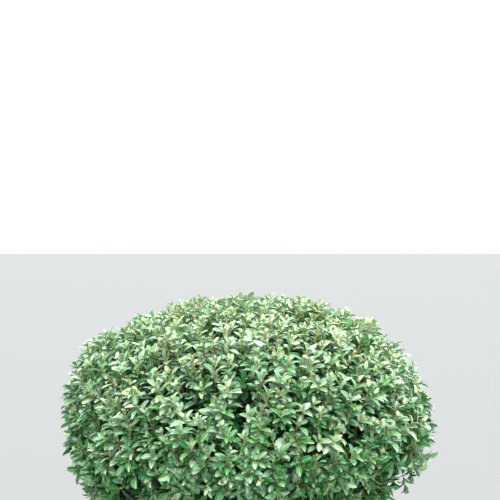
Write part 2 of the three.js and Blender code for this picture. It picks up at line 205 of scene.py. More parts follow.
# Leaves. A leaf's stations are (share of its length, share of its width).
LEAF_LENGTH = 0.0335
LEAF_WIDTH_SHARE = 0.475
MIDRIB_SHARE = 0.12
FULL_LEAF = [(0.0, 0.09), (0.25, 0.61), (0.51, 1.0), (0.77, 0.90), (0.94, 0.48)]
PLAIN_LEAF = [(0.0, 0.1), (0.3, 0.66), (0.62, 1.0)]
TINY_LEAF = [(0.0, 0.2), (0.5, 1.0)]
LEAF_COLUMNS = 6
LEAF_TIP_POINTS = 3
# How far leaves curl down and fold along the midrib, in radians: (curl, fold), each from and to.
OUTER_BENDING = ((0.1, 0.85), (0.24, 0.78))
TIP_BENDING = ((0.1, 0.4), (0.2, 0.6))
INNER_BENDING = ((0.15, 0.7), (0.1, 0.4))
# Leaves in the lower half are larger than those on top: (heights, sizes).
LEAF_VIGOUR = ([0.50, 0.72, 0.95], [1.16, 1.04, 0.88])
LEAF_VIGOUR_SPREAD = (0.84, 1.14)
# Leaves of an outer shoot by their place from its tip, each as (places, values).
OUTER_LEAVES = 15
PLAIN_FROM = 10
OUTER_STEPS = ([0, 7, 14], [0.0, 0.27, 0.84])
OUTER_LEANS = ([0, 2, 5, 10, 14], [25, 44, 58, 62, 68])
OUTER_SIZES = ([0, 1, 3, 5, 14], [0.55, 0.78, 1.0, 1.06, 1.0])
OUTER_PALENESS = ([0, 3, 8, 14], [0.5, 0.2, -0.15, -0.5])
OUTER_LOSSES = ([0, 6, 14], [0.0, 0.06, 0.3])
FIRST_LEAF = 0.003
LOW_LOSS = 0.16
# The young leaves at the very tip, and the leaves of an inner shoot.
TIP_LEAVES = 5
TIP_FIRST = 0.0005
TIP_SPACING = 0.0008
TIP_LEANS = ([0, 4], [8, 34])
TIP_SIZES = ([0, 4], [0.16, 0.38])
INNER_LEAVES = 9
INNER_LEANS = ([0, 8], [30, 80])
INNER_SIZES = ([0, 2, 8], [0.85, 1.05, 1.1])
INNER_LOSS = 0.08
INNER_STEP_SPREAD = 0.004

# Buds: a pointed one at the tip, as (share of its length, share of its radius), and round ones in the axils.
BUD_PROFILE = np.array([(-0.3, 0.4), (0.2, 1.0), (0.7, 0.7), (1.0, 0.02)])
BUD_LENGTHS = (0.0035, 0.006)
BUD_RADIUS = 0.0014
AXIL_BUDS = 7
AXIL_FIRST = 0.003
AXIL_SPACING = 0.0038
AXIL_ASIDE = 0.002
AXIL_SIZES = (0.0013, 0.0023)

# The studio: lights as (name, place, degrees wide, strength), and the camera at the photograph's distance.
LIGHTS = [
    ("front_light", (0.35, -1.05, 1.35), 40, 2.6),
    ("rear_light", (0.3, 1.4, 1.6), 60, 1.4),
    ("sky_light", (0.0, -0.2, 2.0), 150, 2.6),
]
LIGHT_COLOUR = (0.99, 0.99, 0.97)
AIR_COLOUR = (238, 245, 253)
AIR_STRENGTH = 1.75
FLOOR_REACH = 40.0
FLOOR_DROP = 0.0005
CAMERA_PLACE = (0.0, -4.852, 1.26)
CAMERA_TILT = 88.5
CAMERA_LENS = 127.5
CAMERA_SENSOR = 36.0


def draws(kind):
    return np.random.default_rng(SEEDS[kind])


def unit(vectors):
    return vectors / np.linalg.norm(vectors, axis=-1, keepdims=True)


def dot(a, b):
    return np.sum(a * b, axis=-1, keepdims=True)


def ring_angles(sides):
    return np.arange(sides) * 2 * math.pi / sides


def polar(radius, angle, height):
    """Points by their distance from the upright axis, their angle round it and their height."""
    return np.stack(np.broadcast_arrays(radius * np.cos(angle), radius * np.sin(angle), height), axis=-1)


def smooth_step(low, high, value):
    """0 up to low, 1 from high on, and a soft rise between. High may be the lesser of the two."""
    share = np.clip((value - low) / (high - low), 0.0, 1.0)
    return share * share * (3 - 2 * share)


def falloff(gap, width):
    """1 where there is no gap, and softly down to 0 over about twice the width."""
    return np.exp(-((gap / width) ** 2))


def swing(k, kind):
    """The source's repeatable number from -1 to 1 for the k-th thing of a kind."""
    wave = math.sin(k * 12.9898 + kind * 78.233) * 43758.5453
    return 2 * (wave - math.floor(wave)) - 1


def ripple(points, wavelength, seed, waves=7):
    """A soft random relief from about -1 to 1 over space."""
    rng = np.random.default_rng(seed)
    ways = unit(rng.normal(size=(waves, 3))) * (2 * math.pi / wavelength) * rng.uniform(0.7, 1.4, (waves, 1))
    return np.sin(points @ ways.T + rng.uniform(0, 2 * math.pi, waves)).sum(axis=-1) / math.sqrt(waves)


def ripples(points, layers):
    return sum(depth * ripple(points, wavelength, seed) for depth, wavelength, seed in layers)


# The canopy's own geometry, by the source's rule.
def outline(points):
    """Height and squareness of the outline's half that each point is in."""
    return np.moveaxis(np.where(points[..., 2:] > CANOPY_MIDDLE, ABOVE, BELOW), -1, 0)


def outness(points):
    """How far out points lie: 1 on the canopy's outline."""
    height, squareness = outline(points)
    across = np.hypot(points[..., 0], points[..., 1]) / CANOPY_RADIUS
    upward = np.abs(points[..., 2] - CANOPY_MIDDLE) / height
    return (across**squareness + upward**squareness) ** (1 / squareness)


def half_axes(height):
    """The canopy's reach along x, y and z, by its height."""
    return np.stack([np.full_like(height, CANOPY_RADIUS)] * 2 + [height], axis=-1)


def outward(directions, share):
    """The points at a share of the way out, in directions given on the canopy drawn as a ball."""
    run = directions * half_axes(np.where(directions[:, 2] > 0, ABOVE[0], BELOW[0]))
    return CENTRE + run * (share / outness(run + CENTRE))[:, None]


def outline_normal(points):
    return unit((points - CENTRE) / half_axes(outline(points)[0]) ** 2)


def spread(count, lowest=LOWEST_LEVEL, shift=0.0):
    """Directions spread evenly over the outline, save for its underside."""
    k = np.arange(count)
    level = 1 - (1 - lowest) * ((k + 0.5) / count) ** LEVEL_CROWDING
    return polar(np.sqrt(1 - level * level), k * GOLDEN_ANGLE + shift, level)


def bezier(points, shares):
    """Points along a cubic curve through four control points, which may be arrays of them."""
    a, b, c, d = (np.asarray(p)[..., None, :] for p in points)
    t = np.asarray(shares)[:, None]
    return a * (1 - t) ** 3 + 3 * b * t * (1 - t) ** 2 + 3 * c * t * t * (1 - t) + d * t**3


class Mass:
    """One mass of foliage: where it lies, and the bough that carries it."""

    def __init__(self, label, number, azimuth, elevation, bough_radius, steepness):
        self.label = label
        self.number = number
        self.bough_radius = bough_radius
        level = polar(1.0, azimuth, 0.0)
        direction = level * math.cos(elevation) + UP * math.sin(elevation)
        run = direction * half_axes(ABOVE[0])
        self.leaning = direction / half_axes(ABOVE[0])
        self.along = unit(run)
        self.foot = CENTRE + run * FOOT_SHARE
        self.heart = CENTRE + run * HEART_SHARE
        self.bough = self.bough_controls(level, steepness)

    def bough_controls(self, level, steepness):
        """The bough's curve: out of the trunk's dome, up and over, and into the mass's foot."""
        height = TRUNK_DOME + TRUNK_NECK_RADIUS * math.sin(steepness)
        seat = level * TRUNK_NECK_RADIUS * math.cos(steepness) + [TRUNK_LEAN * (height - SOIL_TOP), 0, height]
        leaving = level * math.cos(steepness) + UP * math.sin(steepness)
        reach = np.linalg.norm(self.foot - seat)
        sway = np.array([-level[1], level[0], 0.0]) * BOUGH_SWAY * swing(self.number, 3)
        return (
            seat - leaving * BOUGH_ROOT_DEPTH,
            seat + leaving * reach * BOUGH_BEND + sway,
            self.foot - self.along * reach * BOUGH_BEND,
            self.foot,
        )


def all_masses():
    masses = []
    for row, count, elevation, turn, bough_radius, steepness in MASS_ROWS:
        for k in range(count):
            label = f"{row}_{k + 1}" if count > 1 else row
            azimuth, level, rise = np.radians([turn - 90 + 360 * k / count, elevation, steepness])
            masses.append(Mass(label, len(masses), azimuth, level, bough_radius, rise))
    return masses


MASSES = all_masses()
LEANINGS = np.array([mass.leaning for mass in MASSES])


def mass_of(points):
    """The number of the mass whose space each point lies in."""
    return np.argmax((points - CENTRE) @ LEANINGS.T, axis=-1)


def seam(points):
    """How near each point is to where two masses part: 1 on the seam, 0 well inside a mass."""
    scores = np.sort((unit(points - CENTRE)) @ LEANINGS.T, axis=-1)
    return falloff(scores[:, -1] - scores[:, -2], SEAM_WIDTH)


def in_scene(name, data):
    thing = bpy.data.objects.new(name, data)
    bpy.context.scene.collection.objects.link(thing)
    return thing


# Meshes of many small things.
class Batch:
    """The points and triangles of many small things, which become one mesh."""

    def __init__(self):
        self.points = []
        self.faces = []
        self.finishes = []
        self.count = 0

    def add(self, points, faces, finishes):
        """Adds things of equal make: points (things, points, 3), their triangles, and a finish each."""
        things, size = points.shape[:2]
        starts = self.count + np.arange(things) * size
        self.points.append(points.reshape(-1, 3))
        self.faces.append((faces[None] + starts[:, None, None]).reshape(-1, 3))
        finishes = np.asarray(finishes)
        if finishes.ndim < 2:
            finishes = np.broadcast_to(finishes, things)[:, None]
        self.finishes.append(np.broadcast_to(finishes, (things, len(faces))).ravel())
        self.count += things * size

    def add_rings(self, rings):
        """Adds one thing whose points lie in rings (rings, sides, 3)."""
        self.add(rings.reshape(1, -1, 3), tube_faces(*rings.shape[:2]), 0)

    def build(self, name, materials, smooth=True):
        points = np.concatenate(self.points)
        faces = np.concatenate(self.faces)
        mesh = bpy.data.meshes.new(name)
        mesh.vertices.add(len(points))
        mesh.vertices.foreach_set("co", points.ravel())
        mesh.loops.add(faces.size)
        mesh.loops.foreach_set("vertex_index", faces.ravel())
        mesh.polygons.add(len(faces))
        mesh.polygons.foreach_set("loop_start", np.arange(len(faces)) * 3)
        mesh.polygons.foreach_set("material_index", np.concatenate(self.finishes).astype(np.int32))
        mesh.polygons.foreach_set("use_smooth", np.full(len(faces), smooth))
        for material in materials:
            mesh.materials.append(material)
        mesh.update(calc_edges=True)
        mesh.validate()
        return in_scene(name, mesh)


def sort_into(batches, owners, points, faces, finishes):
    """Adds each thing to the batch of the mass that owns it."""
    for number, batch in enumerate(batches):
        chosen = owners == number
        batch.add(points[chosen], faces, finishes[chosen])


def tube_faces(rings, sides):
    """The triangles between rings of points, each quad split in two."""
    ring, side = np.divmod(np.arange((rings - 1) * sides), sides)
    following = (side + 1) % sides
    near, far = ring * sides, (ring + 1) * sides
    quads = np.stack([near + side, near + following, far + following, far + side], axis=-1)
    return np.concatenate([quads[:, [0, 1, 2]], quads[:, [0, 2, 3]]])


def tube_points(paths, radii, sides):
    """Rings of points round paths (things, rings, 3), with radii (things, rings, sides or 1)."""
    tangents = unit(np.gradient(paths, axis=1))
    run = unit(paths[:, -1] - paths[:, 0])
    level = np.where(np.abs(run[:, 2:]) > 0.95, [1.0, 0.0, 0.0], UP)
    square = unit(np.cross(run, level))[:, None]
    side = unit(np.cross(tangents, square))
    rise = unit(np.cross(side, tangents))
    angles = ring_angles(sides)[:, None]
    round_ways = side[:, :, None] * np.cos(angles) + rise[:, :, None] * np.sin(angles)
    return (paths[:, :, None] + round_ways * radii[..., None]).reshape(len(paths), -1, 3)


# A leaf is two halves folded along the midrib, each smooth in itself.
def leaf_faces(stations, ribbed):
    """The triangles of a leaf, and True for those of its midrib, which come last."""
    blade, rib = [], []
    for k in range(len(stations)):
        near, far = k * LEAF_COLUMNS, (k + 1) * LEAF_COLUMNS
        for left, faces in ((0, blade), (4, blade), (2, rib)):
            if k < len(stations) - 1:
                faces.append([near + left, near + left + 1, far + left + 1])
                faces.append([near + left, far + left + 1, far + left])
            else:
                faces.append([near + left, near + left + 1, far + left // 2])
    rib = rib if ribbed else []
    return np.array(blade + rib), np.array([False] * len(blade) + [True] * len(rib))


def leaf_points(roots, ways, uppers, lengths, width_share, curl, fold, stations, ribbed):
    """Leaves (count, points, 3) that grow from roots along ways, with their upper faces towards uppers."""
    sides = np.cross(uppers, ways)
    rib = MIDRIB_SHARE if ribbed else 0.0
    along = np.array([t for t, _ in stations for _ in range(LEAF_COLUMNS)] + [1.0] * LEAF_TIP_POINTS)
    width = [w for _, half in stations for w in (half, rib, rib, -rib, -rib, -half)]
    width = np.array(width + [0.0] * LEAF_TIP_POINTS)
    bend = curl[:, None] * along
    forward = lengths[:, None] * np.sin(bend) / curl[:, None]
    down = lengths[:, None] * (1 - np.cos(bend)) / curl[:, None]
    across = width * (lengths * width_share / 2)[:, None]
    lift = np.abs(across) * np.sin(fold)[:, None] - down
    across = across * np.cos(fold)[:, None]
    moves = ((ways, forward), (sides, across), (uppers, lift))
    return sum((way[:, None] * reach[..., None] for way, reach in moves), roots[:, None])


# Finishes.
class Value:
    """A number that varies over a surface. Python's operators on it add Math nodes."""

    def __init__(self, finish, socket):
        self.finish = finish
        self.socket = socket

    def maths(self, operation, left, right):
        return self.finish.node("ShaderNodeMath", {"operation": operation}, {0: left, 1: right})

    def __add__(self, other):
        return self.maths("ADD", self, other)

    __radd__ = __add__

    def __mul__(self, other):
        return self.maths("MULTIPLY", self, other)

    __rmul__ = __mul__

    def __sub__(self, other):
        return self.maths("SUBTRACT", self, other)

    def __rsub__(self, other):
        return self.maths("SUBTRACT", other, self)


class Finish:
    """A node material, and the one method that adds its nodes."""

    def __init__(self, name, **constants):
        self.material = bpy.data.materials.new(name)
        self.material.use_nodes = True
        self.tree = self.material.node_tree
        self.shader = self.tree.nodes["Principled BSDF"]
        for socket, value in constants.items():
            self.shader.inputs[socket.replace("_", " ")].default_value = value

    def node(self, kind, settings, inputs, output=0):
        node = self.tree.nodes.new(kind)
        for setting, value in settings.items():
            setattr(node, setting, value)
        for key, value in inputs.items():
            if isinstance(value, Value):
                self.tree.links.new(value.socket, node.inputs[key])
            else:
                node.inputs[key].default_value = value
        return Value(self, node.outputs[output])

    def feed(self, socket, value):
        self.tree.links.new(value.socket, self.shader.inputs[socket])

    def noise(self, scale, stretch=(1.0, 1.0, 1.0), detail=4.0, roughness=0.55):
        """Noise by where a point is on the piece, stretched."""
        spot = self.node("ShaderNodeTexCoord", {}, {}, "Object")
        place = self.node("ShaderNodeMapping", {}, {"Vector": spot, "Scale": stretch})
        inputs = {"Vector": place, "Scale": scale, "Detail": detail, "Roughness": roughness}
        return self.node("ShaderNodeTexNoise", {}, inputs)

    def mask(self, value, low, high):
        """0 where a value is under low, 1 where it is over high, and a soft rise between."""
        settings = {"interpolation_type": "SMOOTHSTEP"}
        return self.node("ShaderNodeMapRange", settings, {0: value, 1: low, 2: high})

    def blended(self, first, second, share):
        """One colour over another by a share."""
        return self.node("ShaderNodeMix", {"data_type": "RGBA"}, {0: share, 6: first, 7: second}, 2)

    def bump(self, height, strength, distance):
        inputs = {"Height": height, "Strength": strength, "Distance": distance}
        self.feed("Normal", self.node("ShaderNodeBump", {}, inputs))


def colour(red, green, blue):
    """A colour given as a painter names it, 0 to 255, as the shader wants it."""
    shares = (np.array([red, green, blue]) / 255.0).tolist()
    linear = [c / 12.92 if c <= 0.04045 else ((c + 0.055) / 1.055) ** 2.4 for c in shares]
    return (*linear, 1.0)


# Leaf tints, each a plain base colour dealt out by spray. A tint's number is its place in this list. The two
# darkest tints are painted shade for leaves deep in the canopy. The other tints are dealt to sprays, and the
# deeper ones among them also serve as painted shade at the feet of the shoots.
LEAF_TINTS = {
    "leaf_darkest_shade": (18, 72, 26),
    "leaf_shade": (38, 102, 44),
    "leaf_deep": (45, 114, 58),
    "leaf_mid": (86, 143, 78),
    "leaf_glaucous": (111, 157, 115),
    "leaf_light": (138, 169, 134),
    "leaf_fresh": (147, 172, 120),
    "leaf_young": (163, 188, 138),
    "leaf_bronze": (184, 166, 120),
    "leaf_yellow": (214, 192, 80),
    "midrib_deep": (110, 152, 98),
    "midrib_mid": (152, 187, 134),
    "midrib_pale": (194, 210, 172),
}
DARKEST_SHADE, SHADE, DEEP, MID, GLAUCOUS, LIGHT, FRESH, YOUNG, BRONZE, YELLOW, *RIBS = range(len(LEAF_TINTS))
# The midrib's tint for each tint of the blade: three deep ones, two of middle tint and five pale ones.
MIDRIBS = np.repeat(RIBS, [3, 2, 5])
# Leaves deep in the canopy are in the shade, so that their wax shows less.
LEAF_WAX = {"leaf_darkest_shade": 0.0, "leaf_shade": 0.1, "leaf_deep": 0.5}
FULL_WAX = 0.7

# The share of the sprays that takes each tint, from the lowest up, and chances of the odd ones. The inner
# sprays' darkest tints are painted shade, darkest low down.
OUTER_WEIGHTS = [(DEEP, 0.20), (MID, 0.24), (GLAUCOUS, 0.26), (LIGHT, 0.18), (FRESH, 0.12)]
INNER_WEIGHTS = [(DARKEST_SHADE, 0.30), (SHADE, 0.17), (DEEP, 0.21), (MID, 0.18), (GLAUCOUS, 0.14)]
TIP_WEIGHTS = {YOUNG: 0.4, FRESH: 0.2, BRONZE: 0.2, LIGHT: 0.2}
YOUNG_SHARE = 0.2
YELLOW_SHARE = 0.001
TINT_SPREAD = 0.8
# Painted shade at the feet of the shoots, in tints that get lighter higher up: the heights at which the feet
# take the next lighter tint, and how many leaves do.
SHADE_LEVELS = CANOPY_MIDDLE + np.array([-0.07, -0.015, 0.03, 0.10])
SHADE_FROM = 8
SHADE_SHARE = 0.62


def leaf_finish(name, tint):
    wax = LEAF_WAX.get(name, FULL_WAX)
    shine = {"Specular_IOR_Level": 0.2 + 0.4 * wax, "Coat_Weight": wax, "Coat_Roughness": 0.22}
    return Finish(name, Base_Color=colour(*tint), Roughness=0.42, **shine).material


def stem_finish(name, tint):
    return Finish(name, Base_Color=colour(*tint), Roughness=0.65, Specular_IOR_Level=0.25).material


def bark_finish():
    """Grey-brown bark with darker furrows and paler lenticels."""
    finish = Finish("bark_grey_brown")
    furrows = finish.noise(70.0, (1.0, 1.0, 0.35), 6.0, 0.6)
    patches = finish.mask(finish.noise(16.0), 0.55, 0.75)
    spots = finish.mask(finish.noise(300.0, detail=1.0), 0.62, 0.7)
    body = finish.blended(colour(74, 62, 50), colour(132, 118, 98), finish.mask(furrows, 0.3, 0.7))
    aged = finish.blended(body, colour(120, 124, 104), patches * 0.5)
    finish.feed("Base Color", finish.blended(aged, colour(170, 158, 134), spots * 0.6))
    finish.feed("Roughness", 0.92 - 0.18 * finish.mask(furrows, 0.2, 0.8))
    finish.bump(furrows + spots * 0.4, 0.6, 0.0016)
    return finish.material


def clay_finish():
    """Fired clay with turning marks, a lime bloom and damp, darker patches."""
    finish = Finish("clay_terracotta")
    marks = finish.noise(26.0, (0.25, 0.25, 9.0), 3.0)
    grain = finish.noise(420.0, detail=3.0)
    clouds = finish.noise(5.5, detail=6.0, roughness=0.6)
    bloom = finish.mask(finish.noise(9.0, (1.0, 1.0, 1.6), 8.0, 0.68), 0.52, 0.74)
    body = finish.blended(colour(158, 88, 60), colour(192, 118, 84), finish.mask(clouds, 0.32, 0.68))
    turned = finish.blended(body, colour(142, 78, 54), finish.mask(marks, 0.5, 0.75) * 0.4)
    speckled = finish.blended(turned, colour(118, 66, 46), finish.mask(grain, 0.62, 0.72) * 0.5)
    finish.feed("Base Color", finish.blended(speckled, colour(214, 196, 178), bloom * 0.5))
    finish.feed("Roughness", 0.86 - 0.12 * finish.mask(clouds, 0.3, 0.7))
    finish.bump(marks * 0.6 + grain * 0.25 + bloom * 0.2, 0.5, 0.0012)
    return finish.material


def soil_finish(name, dark, light):
    finish = Finish(name)
    crumbs = finish.noise(150.0, detail=6.0, roughness=0.7)
    finish.feed("Base Color", finish.blended(colour(*dark), colour(*light), finish.mask(crumbs, 0.35, 0.7)))
    finish.feed("Roughness", 0.98 - 0.14 * finish.mask(crumbs, 0.3, 0.7))
    finish.bump(crumbs, 0.8, 0.002)
    return finish.material


def floor_finish():
    finish = Finish("floor_pale", Base_Color=colour(124, 124, 122), Roughness=0.9, Specular_IOR_Level=0.2)
    finish.bump(finish.noise(40.0), 0.02, 0.001)
    return finish.material


BARK = bark_finish()
LEAF_FINISHES = [leaf_finish(name, tint) for name, tint in LEAF_TINTS.items()]
# Stem tints. The shaded stem tint is painted shade on the lower part of the young stems, inside the canopy.
STEM_TINTS = {
    "stem_green": (168, 180, 100),
    "stem_tan": (184, 170, 106),
    "stem_russet": (150, 118, 84),
    "stem_shaded": (92, 108, 52),
}
STEM_FINISHES = [stem_finish(name, tint) for name, tint in STEM_TINTS.items()]
SHADED_STEM = len(STEM_TINTS) - 1
TWIG_FINISHES = [stem_finish("twig_brown", (84, 80, 50)), stem_finish("twig_grey", (102, 108, 72))]
BUD_FINISHES = [stem_finish("bud_tan", (194, 170, 104)), stem_finish("bud_green", (180, 188, 108))]


def shown(piece, node):
    """Gives a piece its body, and hides the node that it stands for."""
    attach(piece, "root")
    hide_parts(node)


# The pot and what is in it.
def rounded(corners, radius, steps=5):
    """A profile with each inner corner rounded off. Corners are (radius, height) pairs."""
    corners = [np.array(corner) for corner in corners]
    profile = [corners[0]]
    for before, corner, after in zip(corners, corners[1:], corners[2:]):
        runs = (before - corner, after - corner)
        reach = min(radius, *(np.linalg.norm(run) * 0.45 for run in runs))
        start, end = (corner + unit(run) * reach for run in runs)
        for t in np.linspace(0, 1, steps):
            profile.append(start * (1 - t) ** 2 + 2 * corner * t * (1 - t) + end * t * t)
    return np.array(profile + [corners[-1]])


def filled_in(profile, spacing):
    """The same profile with extra points on its long straight runs."""
    points = [profile[0]]
    for start, end in zip(profile, profile[1:]):
        steps = max(1, math.ceil(np.linalg.norm(end - start) / spacing))
        points += [start + (end - start) * k / steps for k in range(1, steps + 1)]
    return np.array(points)


def lathe(profile, sides, wobble=None):
    """Rings of a turned piece. Wobble moves the radius by height and angle, but not on the axis."""
    angles = ring_angles(sides)
    radii, heights = profile[:, :1], profile[:, 1:]
    if wobble:
        radii = radii + wobble(heights, angles) * (radii > 1e-4)
    return polar(radii, angles, heights)


def hand_thrown(heights, angles):
    """A pot is never quite round, and the wheel leaves fine rings on it."""
    wide, narrow = OUT_OF_ROUND
    hand = wide * np.sin(2 * angles + 1.0) + narrow * np.sin(3 * angles + heights * 9)
    rings = TURNING_DEPTH * np.sin(heights * TURNING_RATE + 0.6 * np.sin(angles + heights * 30))
    return hand + rings


def pot_inner_radius(height):
    slope = (POT_SHOULDER_RADIUS - POT_FOOT_RADIUS) / (POT_HEIGHT - POT_COLLAR_HEIGHT)
    return POT_FOOT_RADIUS - POT_WALL + slope * height


def dress_pot():
    collar_foot = POT_HEIGHT - POT_COLLAR_HEIGHT
    corners = [
        (0.0, 0.0),
        (POT_FOOT_RADIUS - POT_SKIN, 0.0),
        (POT_SHOULDER_RADIUS - POT_SKIN, collar_foot - 2 * POT_SKIN),
        (POT_SHOULDER_RADIUS + POT_SKIN, collar_foot),
        (POT_RIM_RADIUS - 3 * POT_SKIN, collar_foot),
        (POT_RIM_RADIUS - POT_SKIN, POT_HEIGHT),
        (pot_inner_radius(POT_HEIGHT), POT_HEIGHT),
        (pot_inner_radius(POT_FLOOR), POT_FLOOR),
        (0.0, POT_FLOOR),
    ]
    profile = filled_in(rounded(corners, POT_ROUNDING), POT_RING_SPACING)
    batch = Batch()
    batch.add_rings(lathe(profile, POT_SIDES, hand_thrown))
    pot = batch.build("pot_turned", [clay_finish()])
    pierce(pot)
    shown(pot, "pot")


def pierce(pot):
    """Drills the drain holes through the pot's floor."""
    low, high, point = -POT_FLOOR, 2 * POT_FLOOR, DRAIN_RADIUS / 1000
    drill_side = np.array([(point, low), (DRAIN_RADIUS, low), (DRAIN_RADIUS, high), (point, high)])
    drills = Batch()
    for middle in polar(DRAIN_CIRCLE, ring_angles(DRAIN_COUNT), 0.0):
        drills.add_rings(lathe(drill_side, DRAIN_SIDES) + middle)
    drill = drills.build("drain_drill", [])
    cut = pot.modifiers.new("drain_holes", "BOOLEAN")
    cut.object = drill
    cut.operation = "DIFFERENCE"
    cut.solver = "EXACT"
    shaped = bpy.data.meshes.new_from_object(pot.evaluated_get(bpy.context.evaluated_depsgraph_get()))
    pot.modifiers.clear()
    pot.data = shaped
    bpy.data.objects.remove(drill)


def soil_height(spots):
    """The soil's uneven surface over spots at height 0, a little lower at the wall."""
    dip = SOIL_DIP * smooth_step(*SOIL_DIP_RADII, np.hypot(spots[..., 0], spots[..., 1]))
    return SOIL_TOP - SOIL_CLEARANCE + ripples(spots, SOIL_LUMPS) - dip


def dress_soil():
    rng = draws("soil")
    batch = Batch()
    reach = pot_inner_radius(SOIL_TOP) - SOIL_CLEARANCE
    fill_pot(batch, reach, rng)
    scatter_crumbs(batch, reach, rng)
    finishes = [soil_finish(name, dark, light) for name, _, dark, light in SOIL_KINDS]
    shown(batch.build("soil_surface", finishes, smooth=False), "potting_soil")


def fill_pot(batch, reach, rng):
    """The soil's surface in rings, and its side down to the pot's floor."""
    surface = polar(np.linspace(0.004, 1.0, SOIL_RINGS)[:, None] * reach, ring_angles(SOIL_SIDES), 0.0)
    surface[..., 2] = soil_height(surface) + rng.normal(0, SOIL_GRAIN, surface.shape[:2])
    floor = surface[-1:].copy()
    floor[..., :2] *= pot_inner_radius(POT_FLOOR) / pot_inner_radius(SOIL_TOP)
    floor[..., 2] = POT_FLOOR + SOIL_CLEARANCE
    batch.add_rings(np.concatenate([surface, floor])[:, ::-1])


def scatter_crumbs(batch, reach, rng):
    """Bark chips, fibres and grit that lie on the soil, clear of the trunk."""
    radius = reach * 0.98 * np.sqrt(rng.uniform(0, 1, CRUMB_COUNT))
    middle = polar(radius, rng.uniform(0, 2 * math.pi, CRUMB_COUNT), 0.0)
    middle[:, 2] = soil_height(middle) + SOIL_CLEARANCE
    sizes = rng.uniform(0.25, 1.0, (CRUMB_COUNT, 1, 1)) * CRUMB_SIZE
    kind = rng.choice(len(SOIL_KINDS), CRUMB_COUNT, p=[share for _, share, _, _ in SOIL_KINDS])
    perlite = kind == len(SOIL_KINDS) - 1
    sizes[perlite] = rng.uniform(*PERLITE_SIZES, (np.sum(perlite), 1, 1))
    turns = random_turns(rng, CRUMB_COUNT, 0.5)
    points, faces = crumb(rng, CRUMB_COUNT)
    placed = np.einsum("nij,npj->npi", turns, points * sizes) + middle[:, None]
    clear = radius > TRUNK_FOOT_RADIUS * 1.02
    batch.add(placed[clear], faces, kind[clear])


def crumb(rng, count):
    """Rough little lumps: octahedra with their corners moved about."""
    poles = np.eye(3)
    corners = np.stack([poles, -poles], axis=1).reshape(-1, 3)
    rim = [(0, 2), (2, 1), (1, 3), (3, 0)]
    faces = np.array([(a, b, 4) for a, b in rim] + [(b, a, 5) for a, b in rim])
    return corners + rng.normal(0, 0.22, (count, len(corners), 3)), faces


def random_turns(rng, count, tilt):
    """Rotations about Z with a little tilt, as matrices."""
    turn = rng.uniform(0, 2 * math.pi, count)
    lean_x, lean_y = rng.normal(0, tilt, (2, count))
    z_axis = unit(np.stack([lean_x, lean_y, np.ones(count)], axis=-1))
    x_axis = polar(1.0, turn, 0.0)
    x_axis = unit(x_axis - z_axis * dot(x_axis, z_axis))
    return np.stack([x_axis, np.cross(z_axis, x_axis), z_axis], axis=-1)


# Trunk and boughs, with the bark's relief in the mesh.
def bark_relief(points, bark):
    """The factor by which the bark swells the radius at each point."""
    depth, ridges, cracks = bark
    spots = points.reshape(-1, 3)
    relief = ripple(spots * [1, 1, 0.45], ridges, 61) * 0.7 + 0.3 * ripple(spots, cracks, 62)
    return 1 + depth * relief.reshape(points.shape[:-1])


def dress_trunk():
    foot = SOIL_TOP - TRUNK_SUNK
    flare = [(radius, foot + height) for height, radius in TRUNK_FLARE]
    cap = [
        (max(TRUNK_NECK_RADIUS * math.cos(rise), 1e-5), TRUNK_DOME + TRUNK_NECK_RADIUS * math.sin(rise))
        for rise in np.linspace(0, math.pi / 2, 14)
    ]
    rings = lathe(filled_in(np.array(flare + cap), TRUNK_RING_SPACING), TRUNK_SIDES)
    share = np.clip((TRUNK_DOME - rings[..., 2]) / (TRUNK_DOME - foot), 0, 1)
    lobe = 1 + TRUNK_LOBE_DEPTH * share * np.cos(TRUNK_LOBES * np.arctan2(rings[..., 1], rings[..., 0]))
    rings[..., :2] *= (lobe * bark_relief(rings, TRUNK_BARK))[..., None]
    rings[..., 0] += TRUNK_LEAN * (rings[..., 2] - SOIL_TOP)
    batch = Batch()
    batch.add_rings(rings)
    shown(batch.build("trunk_bark", [BARK]), "trunk")


def dress_bough(mass):
    """The bough of a mass, which runs on through the mass's foot to its heart."""
    bough = bezier(mass.bough, np.linspace(0, 1, BOUGH_RINGS))
    stem = mass.foot + np.outer(np.linspace(0, 1, BOUGH_STEM_RINGS + 1)[1:], mass.heart - mass.foot)
    path = np.concatenate([bough, stem])[None]
    share = np.concatenate([np.linspace(0, 1, BOUGH_RINGS), np.ones(BOUGH_STEM_RINGS)])
    ring = np.arange(len(share))
    radius = mass.bough_radius * (1 - (1 - BOUGH_THINNING) * share)
    collar = 1 + BOUGH_COLLAR * falloff(ring, BOUGH_COLLAR_RINGS)
    knots = 1 + BOUGH_KNOTS * np.sin(ring * 0.9 + mass.number)
    radii = (radius * collar * knots)[None, :, None]
    plain = tube_points(path, radii, BOUGH_SIDES).reshape(1, -1, BOUGH_SIDES, 3)
    radii = radii * bark_relief(plain, BOUGH_BARK)
    batch = Batch()
    batch.add_rings(tube_points(path, radii, BOUGH_SIDES).reshape(-1, BOUGH_SIDES, 3))
    shown(batch.build(f"bough_bark_{mass.label}", [BARK]), f"bough_{mass.label}")


# The growth: forks, twigs and shoots, each from the nearest thicker one of its own mass.
class Wood:
    """Pieces of wood: where they end, the way that they lead there, their paths and their masses."""

    def __init__(self, ends, ways, paths=None):
        self.ends = ends
        self.ways = ways
        self.paths = paths
        self.masses = mass_of(ends)

    def nearest(self, points, masses):
        """The number of the piece whose end is nearest to each point, within the point's own mass."""
        gaps = np.linalg.norm(points[:, None] - self.ends[None], axis=-1)
        return np.argmin(np.where(masses[:, None] == self.masses[None], gaps, gaps + 10.0), axis=1)


def twig_paths(starts, ways, ends, end_ways, rings, ease=0.4):
    reach = np.linalg.norm(ends - starts, axis=-1, keepdims=True) * ease
    controls = (starts, starts + ways * reach, ends - end_ways * reach, ends)
    return bezier(controls, np.linspace(0, 1, rings))


